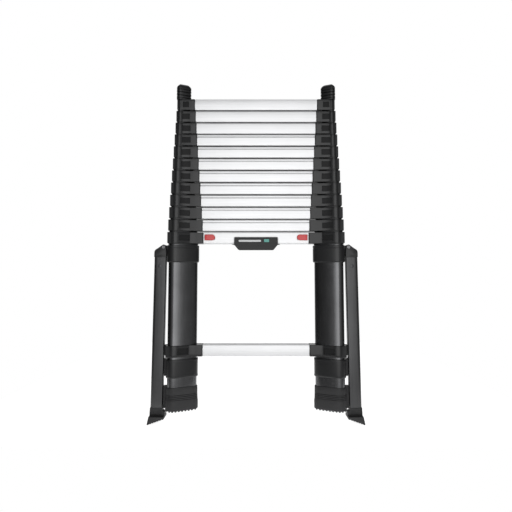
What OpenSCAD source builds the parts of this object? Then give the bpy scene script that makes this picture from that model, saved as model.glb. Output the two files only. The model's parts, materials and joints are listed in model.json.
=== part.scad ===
// Telescoping ladder, closed, with two swing-out stabiliser legs.
// X runs along the rungs, Y through them and Z up the ladder.
// The origin is on the floor, midway between the tips of the stabiliser legs.

/* [Ladder] */
// Number of telescoping sections
sections = 12; // [4:1:12]
// Distance between rungs when the ladder is extended
rung_spacing = 300; // [280:5:300]
// Distance between the centres of the two stiles
stile_spacing = 408; // [380:2:460]
// Height of the lowest rung's centre
first_rung_z = 191.5; // [185:0.5:200]

/* [Stile tubes] */
// Distance from the base tube's centre to its corner centres
base_core_r = 28.8; // [28:0.1:29]
// Corner radius of the base tube
base_corner_r = 16; // [15.8:0.1:16.2]
// How much the corner centres move in from one tube to the next
core_step = 1.52; // [1.5:0.01:1.54]
// How much the corner radius shrinks from one tube to the next
corner_step = 0.94; // [0.94:0.01:0.96]
// Wall thickness of every tube
tube_wall = 1.35; // [1.2:0.05:1.35]
// How far each tube reaches below its collar
tube_drop = 376; // [360:1:376]

/* [Collars] */
// Height of a collar's body
collar_h = 30.2; // [30:0.1:31]
// Height of the neck under a collar
neck_h = 3.2; // [2.5:0.1:3.5]
// Wall thickness of a collar around its tube
collar_wall = 2.4; // [2:0.1:2.6]
// How far the boss reaches past the tube towards the rung
boss_reach = 17; // [15:0.5:20]

/* [Rungs] */
// Height of a rung
rung_h = 31; // [30:0.5:31]
// Front-to-back depth of the lower rungs
wide_rung_depth = 40; // [38:1:44]
// Front-to-back depth of the upper rungs
slim_rung_depth = 30; // [28:1:34]
// Wall thickness of a rung
rung_wall = 1.6; // [1.4:0.1:2]

/* [Stabiliser legs] */
// Angle that a leg swings out from rest
leg_swing = 18.8; // [15:0.1:21]
// Angle at which a leg leans outwards at rest
leg_lean = 0.7; // [0.4:0.1:1]
// Width of a leg tube, seen from the front
leg_w = 33.2; // [32:0.2:36]
// Depth of a leg tube
leg_depth = 21; // [20.5:0.5:24]
// Depth of the wide sole under a leg, which keeps the closed ladder upright
sole_depth = 54; // [50:1:60]
// Height of the leg pivot
pivot_z = 467.5; // [465:0.5:469]

/* [Release buttons] */
// Width of a button
button_w = 28; // [24:1:30]
// Height of a button
button_h = 15.6; // [14:0.2:17]
// Distance that a button slides
button_travel = 8; // [6:1:8]

/* [Hidden] */
// Clearances
body_gap = 0.3;          // between bodies that move past each other
seat_gap = 0.1;          // between pieces fastened to each other
slide_gap = 0.35;        // around a sliding tube
bore_gap = 0.05;         // radial, around a running pin or a bolt
overcut = 1;             // how far a cutter passes the surface it cuts
arc_steps = 8;           // straight steps in a corner of a stile tube
round_steps = 4;         // straight steps in a corner of a rung or a leg
$fn = 48;

// Levels
pitch = collar_h + neck_h + body_gap;
first_collar_z = first_rung_z + rung_spacing;
plate_t = 3;
stile_x = stile_spacing / 2;
leg_inner_x = stile_x + 38.9;
sleeve_min_wall = 3.5;
wide_rungs = 10;

// Lock bolt and the plug that carries a rung
bolt_r = 4.5;
bolt_hole_r = 5;
spigot_len = 8;
spigot_wall = 4;

// Leg, as it would hang straight down. leaning() turns it to its place at rest.
pivot_x = leg_inner_x + 9;
pin_r = 3;
pin_bore_r = 1.6;
pin_head_r = 4.4;
pin_head_t = 1.2;
tongue_r = 6.4;
tongue_half = 4;
leg_x = leg_inner_x + leg_w / 2;
leg_outer_x = leg_inner_x + leg_w;
leg_tube_z = 41;
leg_tube_top = 440;
leg_wall = 1.6;
leg_corner_r = 3;
leg_outer_r = 9;
tip_x = leg_outer_x + 4.2;
heel_x = leg_inner_x - 6;
rivet_z = 416;
rivet_r = 3;

// The tip of a leg touches the floor at rest. Swung out, its sole lies level with the stile's foot.
leg_turn = leg_swing + leg_lean;
tip_z = pivot_z - (pivot_z + (tip_x - pivot_x) * sin(leg_lean)) / cos(leg_lean);
foot_z = pivot_z - (pivot_z - tip_z) * cos(leg_turn) + (tip_x - pivot_x) * sin(leg_turn);
foot_top = 98.6;
tube_bottom = 60;
pad_half = 9;            // half the width of the pads that the folded legs rest against
function pad_x(top) = leg_inner_x + (pivot_z - top) * tan(leg_lean) - 0.5;

// Release button: cap, stem through the rung's face and yoke around the bolt
button_x = boss_x(1) - 3.2 - button_w;
button_z = first_collar_z + 1.5;
cap_t = 3.6;
stem_w = 12;
stem_x = button_x + (button_w - stem_w) / 2;
stem_h = 8;
yoke_h = 14;

// Centre plate
plate_w = 118;
plate_low_w = 94;
plate_wing_w = 132;
centre_plate_t = 3;
window_x = 21.5;
window_t = 1;

function two(k) = k < 10 ? str("0", k) : str(k);
function numbered(name, first, last) = [for (k = [first:last]) str(name, two(k))];

// Sizes of tube k, where 1 is the base tube.
function core_r(k) = base_core_r - core_step * (k - 1);
function corner_r(k) = base_corner_r - corner_step * (k - 1);
function tube_reach(k) = core_r(k) + corner_r(k);
function collar_z(k) = first_collar_z + pitch * (k - 1);
function boss_x(k) = stile_x - tube_reach(k) - boss_reach;
function rung_depth(n) = n <= wide_rungs ? wide_rung_depth : slim_rung_depth;
function rung_z(n) = n == 1 ? first_rung_z : collar_z(n - 1);

// Points along an arc.
function arc(centre, r, a0, a1, steps) =
    [for (i = [0:steps]) let (a = a0 + (a1 - a0) * i / steps) centre + r * [cos(a), sin(a)]];

// Rounded triangle with a flat side towards +X and a corner towards -X.
function stile_outline(core, corner) =
    [for (v = [60:120:300]) each arc(core * [cos(v), sin(v)], corner, v - 60, v + 60, arc_steps)];

// Rectangle with rounded corners, centred.
function round_rect(w, h, r, steps) =
    [for (q = [0:3])
        let (sx = (q == 0 || q == 3) ? 1 : -1, sy = q < 2 ? 1 : -1)
        each arc([sx * (w / 2 - r), sy * (h / 2 - r)], r, 90 * q, 90 * q + 90, steps)];

// Outline of tube k, grown by a wall.
module tube_outline(k, grow = 0) {
    polygon(stile_outline(core_r(k), corner_r(k) + grow));
}

// Places a shape on the right stile and mirrors it to the left one.
module on_stile() {
    translate([stile_x, 0, 0]) children();
}
module both_sides() {
    children();
    mirror([1, 0, 0]) children();
}
module side(right) {
    if (right) children();
    else mirror([1, 0, 0]) children();
}

// Cylinder along X from x0 to x1.
module along_x(r, x0, x1, z) {
    translate([x0, 0, z]) rotate([0, 90, 0]) cylinder(r = r, h = x1 - x0);
}
// Cylinder along Y, centred.
module along_y(r, len, x, z) {
    translate([x, 0, z]) rotate([90, 0, 0]) cylinder(r = r, h = len, center = true);
}

// Both tubes of section k. Each has a lock hole that its lower neighbour's bolt enters
// when the section is pulled out, and a hole that its own collar's bolt passes.
module stile_tubes(k) {
    bottom = k == 1 ? tube_bottom : collar_z(k) - tube_drop;
    top = collar_z(k) + collar_h / 2 - plate_t;
    color("#3c3d3f") both_sides() difference() {
        on_stile() translate([0, 0, bottom]) linear_extrude(top - bottom) difference() {
            tube_outline(k);
            tube_outline(k, -tube_wall);
        }
        if (k > 1) tube_hole(k, collar_z(k) - rung_spacing);
        if (k < sections) tube_hole(k, collar_z(k));
    }
}
module tube_hole(k, z) {
    along_x(bolt_hole_r, stile_x - tube_reach(k) - overcut, stile_x, z);
}

// One collar: a guide around the tube, a boss that carries the rung and a neck underneath.
module collar_body(k) {
    depth = rung_depth(k + 1);
    half = collar_h / 2;
    union() {
        on_stile() translate([0, 0, -half]) linear_extrude(collar_h) tube_outline(k, collar_wall);
        on_stile() translate([0, 0, -half - neck_h]) linear_extrude(neck_h + overcut)
            tube_outline(k, collar_wall / 2);
        boss(k, depth + 4);
    }
}
module boss(k, depth) {
    x1 = stile_x - core_r(k) / 2;
    translate([boss_x(k), -depth / 2, -collar_h / 2]) cube([x1 - boss_x(k), depth, collar_h]);
}
module collar_cuts(k) {
    half = collar_h / 2;
    on_stile() {
        // Socket for the collar's own tube.
        translate([0, 0, -half - neck_h - overcut])
            linear_extrude(collar_h + neck_h - plate_t + overcut) tube_outline(k, seat_gap);
        // Opening for the next tube.
        if (k < sections) translate([0, 0, half - plate_t - overcut])
            linear_extrude(plate_t + 2 * overcut) tube_outline(k + 1, slide_gap);
        // Recessed panels on the front and back faces.
        panel_cut(k);
        mirror([0, 1, 0]) panel_cut(k);
    }
    along_x(bolt_r + bore_gap, boss_x(k) - spigot_len - overcut, stile_x, 0);
}
module panel_cut(k) {
    face = core_r(k) / 2 + corner_r(k) + collar_wall;
    panel_w = core_r(k) * 1.04;
    panel_start = -core_r(k) * 0.42;
    panel_h = collar_h * 0.6;
    depth = 0.8;
    rotate([0, 0, -120]) translate([face - depth, panel_start, -panel_h / 2])
        cube([depth + overcut, panel_w, panel_h]);
}
// Plug that carries the end of a rung.
module spigot(k, n) {
    d = rung_depth(n) - 2 * (rung_wall + seat_gap);
    h = rung_h - 2 * (rung_wall + seat_gap);
    translate([boss_x(k) - spigot_len, 0, 0]) rotate([90, 0, 90]) linear_extrude(spigot_len + overcut)
        difference() {
            polygon(round_rect(d, h, 3, round_steps));
            polygon(round_rect(d - 2 * spigot_wall, h - 2 * spigot_wall, 2, round_steps));
        }
}
// Both collars of section k, with the lock bolts of the sections that have no button.
module collars(k) {
    color("#2f3032") both_sides() translate([0, 0, collar_z(k)]) {
        difference() {
            collar_body(k);
            collar_cuts(k);
        }
        spigot(k, k + 1);
    }
    if (k > 1 && k < sections) color("#9a9a9a") both_sides()
        along_x(bolt_r, boss_x(k) - spigot_len, bolt_tip_x(k), collar_z(k));
}
function bolt_tip_x(k) = stile_x - tube_reach(k + 1) - 0.45;

// Rung n: a hollow bar with a ribbed tread. The middle rungs have a lip along the top edge.
module rung(n) {
    depth = rung_depth(n);
    k = max(n - 1, 1);
    len = 2 * (boss_x(k) - seat_gap);
    has_lip = n > 2 && n <= wide_rungs;
    color("#d8d9da") translate([0, 0, rung_z(n)]) difference() {
        rotate([90, 0, 90]) linear_extrude(len, center = true) difference() {
            polygon(round_rect(depth, rung_h, 3.5, round_steps));
            polygon(round_rect(depth - 2 * rung_wall, rung_h - 2 * rung_wall, 2, round_steps));
        }
        tread_grooves(depth, len);
        if (has_lip) lip_grooves(depth, len);
        if (n == 2) both_sides() button_slot(depth);
    }
}
module tread_grooves(depth, len) {
    groove_pitch = 4;
    groove_w = 1.4;
    groove_d = 0.6;
    count = floor((depth - 12) / groove_pitch);
    for (i = [0:count])
        translate([-len / 2 - overcut, (i - count / 2) * groove_pitch - groove_w / 2, rung_h / 2 - groove_d])
            cube([len + 2 * overcut, groove_w, overcut]);
}
module lip_grooves(depth, len) {
    lip_h = 6;
    groove_h = 1.6;
    groove_d = 0.9;
    for (s = [-1, 1])
        translate([-len / 2 - overcut, s * (depth / 2 - groove_d / 2 + overcut / 2) - (groove_d + overcut) / 2,
                   rung_h / 2 - lip_h - groove_h])
            cube([len + 2 * overcut, groove_d + overcut, groove_h]);
}

// Release button. Its cap slides over the rung's face towards the middle of the rung.
module button_slot(depth) {
    x0 = stem_x - button_travel - slide_gap;
    translate([x0, -depth / 2 - overcut, -stem_h / 2 - slide_gap])
        cube([stem_w + button_travel + 2 * slide_gap, rung_wall + 2 * overcut, stem_h + 2 * slide_gap]);
}
module release_button(right) {
    face = wide_rung_depth / 2;
    color("#c62f33") side(right) difference() {
        union() {
            translate([button_x, -face - body_gap, button_z]) rotate([90, 0, 0]) linear_extrude(cap_t)
                polygon(button_outline());
            translate([stem_x, -face - overcut, first_collar_z - stem_h / 2])
                cube([stem_w, face + overcut, stem_h]);
            translate([stem_x, -yoke_h / 2, first_collar_z - yoke_h / 2]) cube([stem_w, yoke_h, yoke_h]);
        }
        along_x(bolt_r + bore_gap, stem_x - overcut, stem_x + stem_w + overcut, first_collar_z);
    }
}
// Square at the outer end and round at the inner end.
function button_outline() =
    let (r = button_h / 2) concat([[button_w, -r], [button_w, r]], arc([r, 0], r, 90, 270, 16));

module lock_bolt(right) {
    color("#a8a9ab") side(right) along_x(bolt_r, stem_x - 2, bolt_tip_x(1), first_collar_z);
}

// Pad on the outer side of a fitting, where the folded leg rests.
module leg_pad(z0, z1) {
    x0 = stile_x + core_r(1) / 2 + corner_r(1) - 4;
    translate([x0, -pad_half, z0]) cube([pad_x(z1) - x0, 2 * pad_half, z1 - z0]);
}

// Bracket that carries the lowest rung on the base tube.
module bottom_brackets() {
    color("#2f3032") both_sides() translate([0, 0, first_rung_z]) {
        difference() {
            union() {
                sleeve(-collar_h / 2, collar_h, sleeve_min_wall);
                boss(1, wide_rung_depth + 4);
                translate([0, 0, -first_rung_z])
                    leg_pad(first_rung_z - collar_h / 2, first_rung_z + collar_h / 2);
            }
            on_stile() translate([0, 0, -collar_h]) linear_extrude(2 * collar_h) tube_outline(1, seat_gap);
        }
        spigot(1, 1);
    }
}
module sleeve(z, h, wall) {
    on_stile() translate([0, 0, z]) linear_extrude(h) tube_outline(1, wall);
}
module lower_sleeves() {
    h = 48;
    z = 123;
    color("#303133") both_sides() difference() {
        union() {
            sleeve(z, h, sleeve_min_wall);
            leg_pad(z, z + h);
        }
        on_stile() translate([0, 0, z - overcut]) linear_extrude(h + 2 * overcut) tube_outline(1, seat_gap);
    }
}

// Sleeve under the first collar, with an arm that ends in the tongue that the leg hangs on.
module hinge_brackets() {
    z = 425.5;
    wall = 4;
    h = first_collar_z - collar_h / 2 - neck_h - z - 1.4;
    arm_x = stile_x + core_r(1) / 2 + corner_r(1) - 4;
    color("#2f3032") both_sides() difference() {
        union() {
            sleeve(z, h, wall);
            rotate([90, 0, 0]) linear_extrude(2 * tongue_half, center = true)
                polygon(concat([[arm_x, z + 3], [leg_inner_x - 0.6, z + 3], [leg_inner_x - 0.6, pivot_z - 12]],
                               arc([pivot_x, pivot_z], tongue_r, -80, 90, 10), [[arm_x, pivot_z + 3]]));
        }
        on_stile() translate([0, 0, z - overcut]) linear_extrude(h + 2 * overcut) tube_outline(1, seat_gap);
        along_y(pin_r + bore_gap, 2 * tongue_half + 2 * overcut, pivot_x, pivot_z);
    }
}

// Hollow pins with a flat head at each end.
module hinge_pins() {
    head_y = leg_depth / 2 - pin_head_t / 2 - seat_gap;
    color("#8d8e90") both_sides() difference() {
        union() {
            along_y(pin_r, leg_depth - 1, pivot_x, pivot_z);
            for (s = [-1, 1]) translate([0, s * head_y, 0]) along_y(pin_head_r, pin_head_t, pivot_x, pivot_z);
        }
        along_y(pin_bore_r, leg_depth + 2 * overcut, pivot_x, pivot_z);
    }
}

// Rubber foot on the base tube, with grooves around it and a serrated sole.
module foot(right) {
    upper_wall = 2.4;
    lower_wall = 4.2;
    flare_z = 64;
    color("#262728") side(right) difference() {
        union() {
            sleeve(foot_z, flare_z - foot_z, lower_wall);
            sleeve(flare_z, foot_top - flare_z, upper_wall);
            leg_pad(foot_z + lower_wall, foot_top);
        }
        on_stile() translate([0, 0, tube_bottom - seat_gap]) linear_extrude(foot_top)
            tube_outline(1, seat_gap);
        for (i = [0:3]) foot_groove(flare_z + 4 + 4 * i, upper_wall);
        sole_cuts();
    }
}
module foot_groove(z, wall) {
    groove_h = 1.6;
    groove_d = 0.8;
    on_stile() translate([0, 0, z]) linear_extrude(groove_h) difference() {
        tube_outline(1, wall + overcut);
        tube_outline(1, wall - groove_d);
    }
}
module sole_cuts() {
    cut_pitch = 9;
    cut_w = 3;
    cut_h = 2.5;
    first = stile_x - tube_reach(1) + 6;
    for (i = [0:8]) translate([first + i * cut_pitch, -tube_reach(1), foot_z - overcut])
        cube([cut_w, 2 * tube_reach(1), cut_h + overcut]);
}

// Stabiliser leg, beside the right stile.
module leaning() {
    translate([pivot_x, 0, pivot_z]) rotate([0, -leg_lean, 0]) translate([-pivot_x, 0, -pivot_z]) children();
}
// Outline of a leg tube around its centre: round towards the outside, sharper towards the stile.
function leg_outline(grow) =
    let (x = leg_w / 2 + grow, y = leg_depth / 2 + grow, a = leg_outer_r + grow,
         b = max(leg_corner_r + grow, 0.6))
    concat(arc([x - a, y - a], a, 0, 90, 6), arc([-x + b, y - b], b, 90, 180, round_steps),
           arc([-x + b, -y + b], b, 180, 270, round_steps), arc([x - a, -y + a], a, 270, 360, 6));
module leg_section(grow, z0, z1) {
    translate([leg_x, 0, z0]) linear_extrude(z1 - z0) polygon(leg_outline(grow));
}
module leg_tube(right) {
    color("#4a4b4d") side(right) leaning() difference() {
        leg_section(0, leg_tube_z, leg_tube_top);
        leg_section(-leg_wall, leg_tube_z - overcut, leg_tube_top + overcut);
        along_y(rivet_r + bore_gap, leg_depth + 2 * overcut, leg_x, rivet_z);
    }
}
// Head: a knuckle around the pivot, a sloping shoulder and a plug inside the tube.
module leg_head(right) {
    plug_z = rivet_z - 12;
    slot_x = pivot_x + tongue_r + 2;
    slot_y = tongue_half + body_gap;
    slot_z = leg_tube_top + 4;
    color("#2c2d2f") side(right) leaning() difference() {
        union() {
            rotate([90, 0, 0]) linear_extrude(leg_depth, center = true) polygon(head_outline());
            leg_section(-leg_wall - seat_gap, plug_z, leg_tube_top + overcut);
        }
        translate([leg_inner_x - overcut, -slot_y, slot_z])
            cube([slot_x - leg_inner_x + overcut, 2 * slot_y, leg_w]);
        along_y(pin_r + bore_gap, leg_depth + 2 * overcut, pivot_x, pivot_z);
        for (s = [-1, 1]) translate([0, s * leg_depth / 2, 0])
            along_y(pin_head_r + body_gap, 2 * (pin_head_t + seat_gap + body_gap), pivot_x, pivot_z);
        along_y(rivet_r + bore_gap, leg_depth, leg_x, rivet_z);
    }
}
function head_outline() =
    let (knuckle = 7, r = 11, top = 463.5, base = leg_tube_top + seat_gap)
    concat([[leg_inner_x, base], [leg_inner_x, pivot_z - 12]],
           arc([pivot_x, pivot_z], knuckle, 190, 80, 8),
           arc([leg_outer_x - r, top - r], r, 72, 0, 8), [[leg_outer_x, base]]);

// Foot of a leg. Its sole slants so that it lies flat when the leg is swung out.
module leg_foot(right) {
    plug_h = 24;
    sole_top = 21;
    heel_z = tip_z + (tip_x - heel_x) * tan(leg_turn);
    seam = leg_tube_z - seat_gap;
    color("#2a2b2c") side(right) leaning() difference() {
        union() {
            rotate([90, 0, 0]) linear_extrude(leg_depth + 2, center = true)
                polygon([[tip_x, tip_z], [tip_x + 0.3, tip_z + 3], [leg_outer_x + 0.8, sole_top],
                         [leg_outer_x, seam], [leg_inner_x, seam], [leg_inner_x, 34], [heel_x, 31],
                         [heel_x, heel_z]]);
            rotate([90, 0, 0]) linear_extrude(sole_depth, center = true)
                polygon([[tip_x, tip_z], [tip_x + 0.3, tip_z + 3], [leg_outer_x + 0.8, sole_top],
                         [heel_x, sole_top], [heel_x, heel_z]]);
            leg_section(-leg_wall - seat_gap, seam - overcut, leg_tube_z + plug_h);
        }
        sole_notches(heel_z, sole_depth);
    }
}
module sole_notches(heel_z, depth) {
    notch_w = 4;
    for (t = [0.3, 0.62])
        translate([heel_x + t * (tip_x - heel_x), 0, heel_z + t * (tip_z - heel_z)]) rotate([0, leg_turn, 0])
            cube([notch_w, depth + 2 * overcut, 3], center = true);
}
module leg_rivets(right) {
    head_r = 4.5;
    head_t = 0.9;
    color("#77787a") side(right) leaning() {
        along_y(rivet_r, leg_depth + head_t, leg_x, rivet_z);
        for (s = [-1, 1]) translate([0, s * (leg_depth + head_t) / 2, 0])
            along_y(head_r, head_t, leg_x, rivet_z);
    }
}

// Domed cap on the topmost collar, with two grooves around it.
module top_caps() {
    z = collar_z(sections) + collar_h / 2 + seat_gap;
    core = 13;
    corner = 9.7;
    levels = [[0, 0], [9, 0], [9, -2.8], [12.4, -2.8], [12.4, 0], [18, 0], [18, -2.8], [21.4, -2.8],
              [21.4, 0], [35, 0], [37.5, -1.5], [40, -4], [42.3, -7], [44, -8.8]];
    color("#2d2e30") both_sides() on_stile() translate([0, 0, z])
        for (i = [0:len(levels) - 2]) cap_slice(levels[i], levels[i + 1], core, corner);
}
module cap_slice(low, high, core, corner) {
    if (high[0] > low[0]) translate([0, 0, low[0]]) linear_extrude(high[0] - low[0])
        polygon(stile_outline(core, corner + (low[1] + high[1]) / 2));
}

// Plate on the front of the second rung, and its window.
module centre_plate() {
    upper_h = 20.2;
    lower_h = 15.2;
    wing_h = 1.5;
    mid = first_collar_z - rung_h / 2 - 2.4;
    right_edge = [[plate_low_w / 2, mid - lower_h], [plate_w / 2 - 1, mid - wing_h], [plate_wing_w / 2, mid],
                  [plate_w / 2, mid + wing_h], [plate_w / 2, mid + upper_h]];
    left_edge = [for (i = [len(right_edge) - 1:-1:0]) [-right_edge[i][0], right_edge[i][1]]];
    color("#3a3b3d") translate([0, -wide_rung_depth / 2 - seat_gap, 0]) rotate([90, 0, 0])
        linear_extrude(centre_plate_t) polygon(concat(right_edge, left_edge));
}
module indicator_window() {
    w = 14;
    h = 8;
    face = wide_rung_depth / 2 + seat_gap + centre_plate_t;
    color("#4c9a8a") translate([window_x, -face - window_t, first_collar_z - 11.3]) cube([w, window_t, h]);
}

// Draws each node by its name.
for (k = [1:sections]) {
    stile_tubes(k);
    collars(k);
}
for (n = [1:sections + 1]) rung(n);
bottom_brackets();
lower_sleeves();
hinge_brackets();
hinge_pins();
foot(false);  // foot_left
foot(true);  // foot_right
leg_tube(false);  // leg_tube_left
leg_tube(true);  // leg_tube_right
leg_head(false);  // leg_head_left
leg_head(true);  // leg_head_right
leg_foot(false);  // leg_foot_left
leg_foot(true);  // leg_foot_right
leg_rivets(false);  // leg_rivets_left
leg_rivets(true);  // leg_rivets_right
release_button(false);  // release_button_left
release_button(true);  // release_button_right
lock_bolt(false);  // lock_bolt_left
lock_bolt(true);  // lock_bolt_right
top_caps();
centre_plate();
indicator_window();
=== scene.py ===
import json
from math import cos, degrees, hypot, pi, radians, sin, tan

import bmesh
import bpy
from mathutils import Matrix, Vector
from mathutils.geometry import tessellate_polygon


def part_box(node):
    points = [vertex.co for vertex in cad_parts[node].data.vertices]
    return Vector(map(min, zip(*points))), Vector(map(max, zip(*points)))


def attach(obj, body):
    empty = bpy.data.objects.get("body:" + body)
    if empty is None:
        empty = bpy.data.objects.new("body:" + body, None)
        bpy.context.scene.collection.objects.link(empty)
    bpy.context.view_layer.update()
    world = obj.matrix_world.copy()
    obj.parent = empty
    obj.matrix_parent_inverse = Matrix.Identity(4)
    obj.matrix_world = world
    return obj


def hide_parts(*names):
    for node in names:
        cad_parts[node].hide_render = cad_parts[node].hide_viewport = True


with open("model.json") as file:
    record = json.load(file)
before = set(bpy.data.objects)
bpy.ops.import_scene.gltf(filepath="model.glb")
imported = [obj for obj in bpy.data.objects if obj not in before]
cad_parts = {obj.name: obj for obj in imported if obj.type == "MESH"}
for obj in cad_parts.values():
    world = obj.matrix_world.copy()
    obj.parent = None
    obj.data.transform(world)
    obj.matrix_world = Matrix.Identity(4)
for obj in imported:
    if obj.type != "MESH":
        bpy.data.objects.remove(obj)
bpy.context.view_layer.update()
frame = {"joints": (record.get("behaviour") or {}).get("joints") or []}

# ---------------------------------------------------------------- dimensions, in millimetres
MM = 0.001
SECTIONS = 12
LAST_WIDE_RUNG = 10                 # rungs above this one are shallower
BASE_CORE, CORE_STEP = 28.8, 1.52   # centre of the stile to its corner centres, and the change per tube
BASE_CORNER, CORNER_STEP = 16.0, 0.94
TUBE_WALL = 1.35
SLIDE_GAP = 0.35
SEAT_GAP = 0.12
COLLAR_WALL = 2.4
BOSS_REACH = 17.0
RUNG_WALL = 1.6
PLATE_T = 3.0                       # top plate of a collar
SQRT3_2 = sin(radians(60))


def box_mm(node):
    """Lowest and highest corner of a CAD node, in millimetres."""
    low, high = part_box(node)
    return low / MM, high / MM


def two(number):
    return "%02d" % number


def core_r(k):
    return BASE_CORE - CORE_STEP * (k - 1)


def corner_r(k):
    return BASE_CORNER - CORNER_STEP * (k - 1)


def reach(k):
    """Distance from the centre of tube k to its inner corner."""
    return core_r(k) + corner_r(k)


STILE_X = box_mm("stile_tubes_01")[1].x - BASE_CORE / 2 - BASE_CORNER
PIN_LOW, PIN_HIGH = box_mm("hinge_pins")
PIVOT_Z = (PIN_LOW.z + PIN_HIGH.z) / 2
PIN_HEAD_R = (PIN_HIGH.z - PIN_LOW.z) / 2
PIVOT_X = PIN_HIGH.x - PIN_HEAD_R
LEAN = radians(0.7)                 # how far a leg leans outwards at rest
LEG_IN = PIVOT_X - 9.0              # a leg's sides as it would hang straight down
LEG_W = 33.2
LEG_OUT = LEG_IN + LEG_W
LEG_X = (LEG_IN + LEG_OUT) / 2
LEG_D = box_mm("leg_tube_right")[1].y * 2
LEG_TUBE_Z, LEG_TUBE_TOP = 41.0, 440.0
LOCK_HOLE_R = 5.0
PIN_R, BOLT_R = 3.0, 4.5
RUN_GAP = 0.08                      # radial, around a pin or a bolt
TONGUE_R, TONGUE_HALF = 6.4, 4.0
RIVET_R, RIVET_Z = 3.0, 416.0
PAD_HALF = 9.0
STEM_W, STEM_H, YOKE = 12.0, 8.0, 14.0
COLLAR_H = 30.2
JOINTS = {joint["name"]: joint for joint in frame["joints"]}
SWING = LEAN + radians(JOINTS["leg_right_swing"]["range_deg"][1])
BUTTON_TRAVEL = JOINTS["button_left_slide"]["range_m"][1] / MM
SLIDE_TRAVEL = JOINTS["section_02_slide"]["range_m"][1] / MM
RUNG_STEP = SLIDE_TRAVEL + box_mm("rung_03")[0].z - box_mm("rung_02")[0].z
LAST_WIDE_RUNG_DEPTH = 2 * box_mm("rung_03")[1].y
SLIM_RUNG_DEPTH = 2 * box_mm("rung_13")[1].y
SIDES = (("left", True), ("right", False))


# ---------------------------------------------------------------- outlines
def arc(cx, cy, r, start, end, steps):
    """Points along an arc, with its angles in degrees."""
    turn = [radians(start + (end - start) * i / steps) for i in range(steps + 1)]
    return [(cx + r * cos(a), cy + r * sin(a)) for a in turn]


BULGE_ANGLE = 5.0        # how far the front and back faces turn from flat at their ends, in degrees


def face_points(start, end, steps=8):
    """Points of a gently bulging face between the ends of two corner arcs, both ends left out."""
    (ax, ay), (bx, by) = start, end
    length = hypot(bx - ax, by - ay)
    nx, ny = (by - ay) / length, -(bx - ax) / length
    rise = length / 4 * tan(radians(BULGE_ANGLE))
    points = []
    for i in range(1, steps):
        t = i / steps
        h = 4 * t * (1 - t) * rise
        points.append((ax + (bx - ax) * t + nx * h, ay + (by - ay) * t + ny * h))
    return points


def stile_outline(core, corner, steps=14):
    """Rounded triangle around the stile's centre: flat side towards +X, a corner towards -X."""
    arcs, bulge = [], BULGE_ANGLE
    for vertex, first, last in ((60, 0, -bulge), (180, bulge, -bulge), (300, bulge, 0)):
        a = radians(vertex)
        start, end = vertex - 60 + first, vertex + 60 + last
        arcs.append(arc(core * cos(a), core * sin(a), corner, start, end, steps))
    first_face = face_points(arcs[0][-1], arcs[1][0])
    return arcs[0] + first_face + arcs[1] + face_points(arcs[1][-1], arcs[2][0]) + arcs[2]


def round_rect(w, h, radii, steps=6):
    """Rectangle with rounded corners, centred. radii run from the upper right corner, anticlockwise."""
    points = []
    signs = ((1, 1), (-1, 1), (-1, -1), (1, -1))
    for quarter, ((sx, sy), r) in enumerate(zip(signs, radii)):
        points += arc(sx * (w / 2 - r), sy * (h / 2 - r), r, 90 * quarter, 90 * quarter + 90, steps)
    return points


def inset(points, d):
    """Moves every edge of an anticlockwise outline inwards by d."""
    count = len(points)
    moved = []
    for i in range(count):
        (ax, ay), (bx, by), (cx, cy) = points[i - 1], points[i], points[(i + 1) % count]
        ux, uy = bx - ax, by - ay
        vx, vy = cx - bx, cy - by
        ul, vl = hypot(ux, uy) or 1e-9, hypot(vx, vy) or 1e-9
        n1, n2 = (-uy / ul, ux / ul), (-vy / vl, vx / vl)
        mx, my = n1[0] + n2[0], n1[1] + n2[1]
        scale = 2 / max(mx * mx + my * my, 0.4)
        moved.append((bx + mx * scale * d, by + my * scale * d))
    return moved


# ---------------------------------------------------------------- mesh building
class Shell:
    """Vertices and faces of a piece, in millimetres."""

    def __init__(self):
        self.verts = []
        self.faces = []

    def loop(self, points):
        start = len(self.verts)
        self.verts += [tuple(p) for p in points]
        return list(range(start, start + len(points)))

    def bridge(self, a, b):
        for i in range(len(a)):
            j = (i + 1) % len(a)
            self.faces.append((a[i], a[j], b[j], b[i]))

    def loft(self, rings):
        """Joins rings of equal length and returns the first and the last."""
        loops = [self.loop(ring) for ring in rings]
        for a, b in zip(loops, loops[1:]):
            self.bridge(a, b)
        return loops[0], loops[-1]

    def fill(self, outer, *holes):
        """Closes a flat loop that may have holes in it."""
        loops = [outer, *holes]
        index = [i for one in loops for i in one]
        for triangle in tessellate_polygon([[Vector(self.verts[i]) for i in one] for one in loops]):
            self.faces.append(tuple(index[t] for t in triangle))

    def closed_loft(self, rings):
        first, last = self.loft(rings)
        self.fill(first)
        self.fill(last)


def build(name, shell, smooth=32.0, mirror=False):
    """Makes an object in metres from a shell. A mirrored one lies on the left side."""
    sign = -1 if mirror else 1
    mesh = bpy.data.meshes.new(name)
    mesh.from_pydata([(sign * x * MM, y * MM, z * MM) for x, y, z in shell.verts], [], shell.faces)
    clean(mesh, smooth)
    made = bpy.data.objects.new(name, mesh)
    bpy.context.scene.collection.objects.link(made)
    return made


def clean(mesh, smooth):
    work = bmesh.new()
    work.from_mesh(mesh)
    bmesh.ops.remove_doubles(work, verts=work.verts, dist=2e-6)
    bmesh.ops.dissolve_degenerate(work, edges=work.edges, dist=1e-6)
    bmesh.ops.recalc_face_normals(work, faces=work.faces)
    work.to_mesh(mesh)
    work.free()
    for polygon in mesh.polygons:
        polygon.use_smooth = True
    mesh.set_sharp_from_angle(angle=radians(smooth))


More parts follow.
